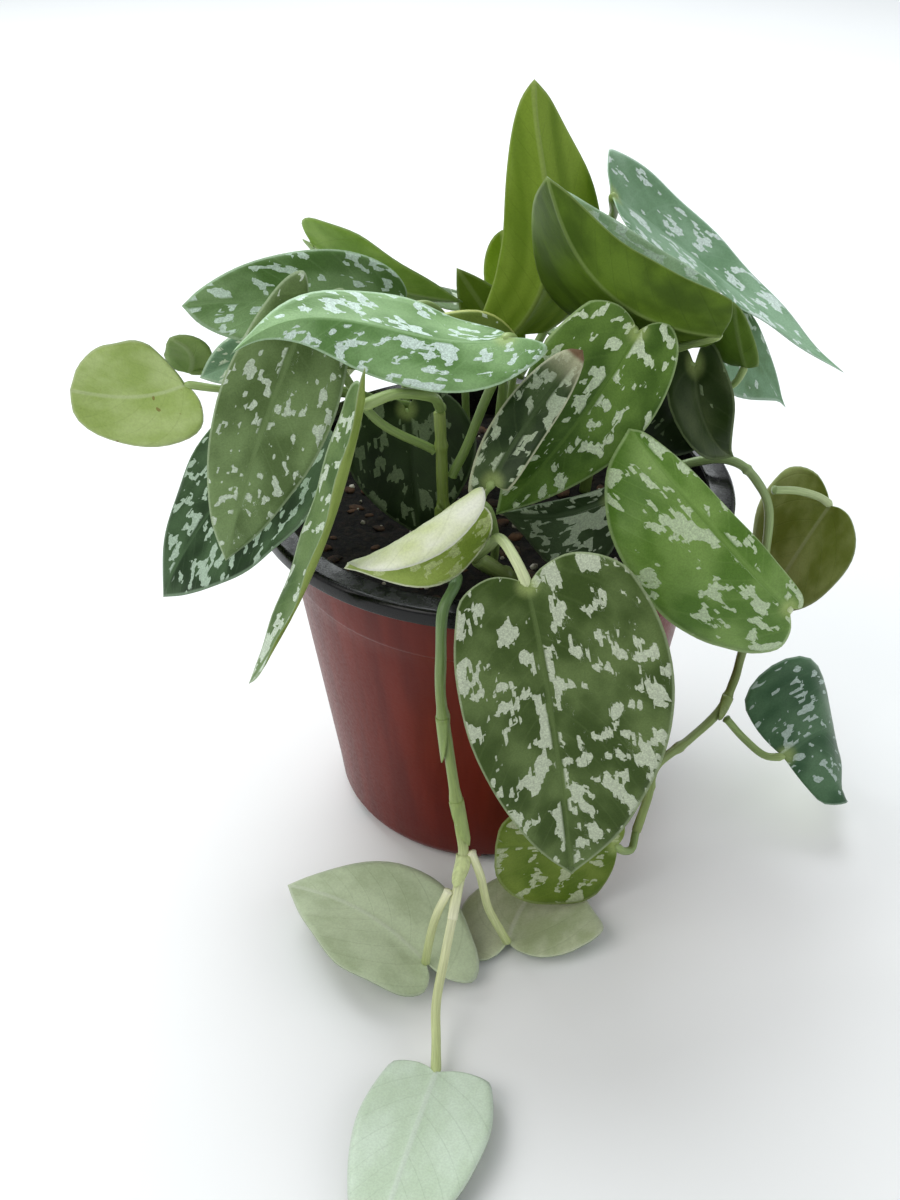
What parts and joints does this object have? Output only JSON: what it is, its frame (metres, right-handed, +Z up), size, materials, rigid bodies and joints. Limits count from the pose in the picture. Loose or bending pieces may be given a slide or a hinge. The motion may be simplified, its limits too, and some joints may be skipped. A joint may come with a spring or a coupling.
{
  "type": "potted pothos plant",
  "caption": "Bushy silver-patched pothos with heart-shaped leaves in a round tapered nursery pot, with vines trailing over the rim to the surface.",
  "frame": {"origin": "centre of the pot's flat base, on the surface it rests on", "axes": "+Z up; -Y towards the plant's front, where one vine trails over the rim; +X to the viewer's right"},
  "size_m": [0.2558, 0.2903, 0.2369],
  "materials": {
    "pot": "smooth brick-red co-extruded plastic, black inside and on the lip, soft sheen",
    "soil": "damp near-black potting mix with perlite specks",
    "stem_left": "living green stem, waxy satin; leather stands in for plant tissue",
    "stem_left_back": "living green stem, waxy satin; leather stands in for plant tissue",
    "stem_centre": "living green stem, waxy satin; leather stands in for plant tissue",
    "stem_front": "living green stem, waxy satin; leather stands in for plant tissue",
    "stem_middle": "living green stem, waxy satin; leather stands in for plant tissue",
    "stem_right": "living green stem, waxy satin; leather stands in for plant tissue",
    "vine_front": "living green stem, waxy satin; leather stands in for plant tissue",
    "vine_right": "living green stem, waxy satin; leather stands in for plant tissue",
    "leaf_front": "living leaf, satin green upper side with silver patches and a pale margin; leather stands in for plant tissue",
    "leaf_right_large": "living leaf, satin green upper side with silver patches and a pale margin; leather stands in for plant tissue",
    "leaf_left_narrow": "living leaf, satin green upper side with silver patches and a pale margin; leather stands in for plant tissue",
    "leaf_left_large": "living leaf, satin green upper side with silver patches and a pale margin; leather stands in for plant tissue",
    "leaf_left_dark": "living leaf, satin green upper side with silver patches and a pale margin; leather stands in for plant tissue",
    "leaf_centre": "living leaf, satin green upper side with silver patches and a pale margin; leather stands in for plant tissue",
    "leaf_young": "living leaf, satin green upper side with silver patches and a pale margin; leather stands in for plant tissue",
    "leaf_middle": "living leaf, satin green upper side with silver patches and a pale margin; leather stands in for plant tissue",
    "leaf_low_middle": "living leaf, satin green upper side with silver patches and a pale margin; leather stands in for plant tissue",
    "leaf_middle_right": "living leaf, satin green upper side with silver patches and a pale margin; leather stands in for plant tissue",
    "leaf_inner_dark": "living leaf, satin green upper side with silver patches and a pale margin; leather stands in for plant tissue",
    "leaf_upper_left": "living leaf, satin green upper side with silver patches and a pale margin; leather stands in for plant tissue",
    "leaf_back_left": "living leaf, satin green upper side with silver patches and a pale margin; leather stands in for plant tissue",
    "leaf_tall": "living leaf, plain green underside with a fine pale margin; leather stands in for plant tissue",
    "leaf_cupped": "living leaf, plain green underside with a fine pale margin; leather stands in for plant tissue",
    "leaf_draped": "living leaf, satin green upper side with silver patches and a pale margin; leather stands in for plant tissue",
    "leaf_upper_right": "living leaf, satin green upper side with silver patches and a pale margin; leather stands in for plant tissue",
    "leaf_sliver": "living leaf, satin green upper side with silver patches and a pale margin; leather stands in for plant tissue",
    "leaf_back_right": "living leaf, satin green upper side with silver patches and a pale margin; leather stands in for plant tissue",
    "leaf_right_under": "living leaf, plain green underside with a fine pale margin; leather stands in for plant tissue",
    "leaf_right_olive": "living leaf, satin green upper side with silver patches and a pale margin; leather stands in for plant tissue",
    "leaf_shade": "living leaf, satin green upper side with silver patches and a pale margin; leather stands in for plant tissue",
    "leaf_right_vine": "living leaf, plain green underside with a fine pale margin; leather stands in for plant tissue",
    "leaf_far_left": "living leaf, plain green underside with a fine pale margin; leather stands in for plant tissue",
    "leaf_small_left": "living leaf, plain green underside with a fine pale margin; leather stands in for plant tissue",
    "leaf_left_teal": "living leaf, satin green upper side with silver patches and a pale margin; leather stands in for plant tissue",
    "leaf_back_small": "living leaf, plain green underside with a fine pale margin; leather stands in for plant tissue",
    "leaf_back_olive": "living leaf, satin green upper side with silver patches and a pale margin; leather stands in for plant tissue",
    "leaf_back_low_left": "living leaf, satin green upper side with silver patches and a pale margin; leather stands in for plant tissue",
    "leaf_back_low_right": "living leaf, satin green upper side with silver patches and a pale margin; leather stands in for plant tissue",
    "leaf_back_middle": "living leaf, satin green upper side with silver patches and a pale margin; leather stands in for plant tissue",
    "leaf_floor_right": "living leaf, satin green upper side with silver patches and a pale margin; leather stands in for plant tissue",
    "leaf_foot_green": "living leaf, satin green upper side with silver patches and a pale margin; leather stands in for plant tissue",
    "leaf_foot_pale": "living leaf, pale satin underside; leather stands in for plant tissue",
    "leaf_floor_left": "living leaf, pale satin underside; leather stands in for plant tissue",
    "leaf_floor_front": "living leaf, pale satin underside; leather stands in for plant tissue"
  },
  "bodies": {
    "root": {"pot": "pot", "soil": "soil", "stem_left": "stem_left", "stem_left_back": "stem_left_back", "stem_centre": "stem_centre", "stem_front": "stem_front", "stem_middle": "stem_middle", "stem_right": "stem_right", "vine_front": "vine_front", "vine_right": "vine_right", "leaf_front": "leaf_front", "leaf_right_large": "leaf_right_large", "leaf_left_narrow": "leaf_left_narrow", "leaf_left_large": "leaf_left_large", "leaf_left_dark": "leaf_left_dark", "leaf_centre": "leaf_centre", "leaf_young": "leaf_young", "leaf_middle": "leaf_middle", "leaf_low_middle": "leaf_low_middle", "leaf_middle_right": "leaf_middle_right", "leaf_inner_dark": "leaf_inner_dark", "leaf_upper_left": "leaf_upper_left", "leaf_back_left": "leaf_back_left", "leaf_tall": "leaf_tall", "leaf_cupped": "leaf_cupped", "leaf_draped": "leaf_draped", "leaf_upper_right": "leaf_upper_right", "leaf_sliver": "leaf_sliver", "leaf_back_right": "leaf_back_right", "leaf_right_under": "leaf_right_under", "leaf_right_olive": "leaf_right_olive", "leaf_shade": "leaf_shade", "leaf_right_vine": "leaf_right_vine", "leaf_far_left": "leaf_far_left", "leaf_small_left": "leaf_small_left", "leaf_left_teal": "leaf_left_teal", "leaf_back_small": "leaf_back_small", "leaf_back_olive": "leaf_back_olive", "leaf_back_low_left": "leaf_back_low_left", "leaf_back_low_right": "leaf_back_low_right", "leaf_back_middle": "leaf_back_middle", "leaf_floor_right": "leaf_floor_right", "leaf_foot_green": "leaf_foot_green", "leaf_foot_pale": "leaf_foot_pale", "leaf_floor_left": "leaf_floor_left", "leaf_floor_front": "leaf_floor_front"}
  },
  "joints": []
}
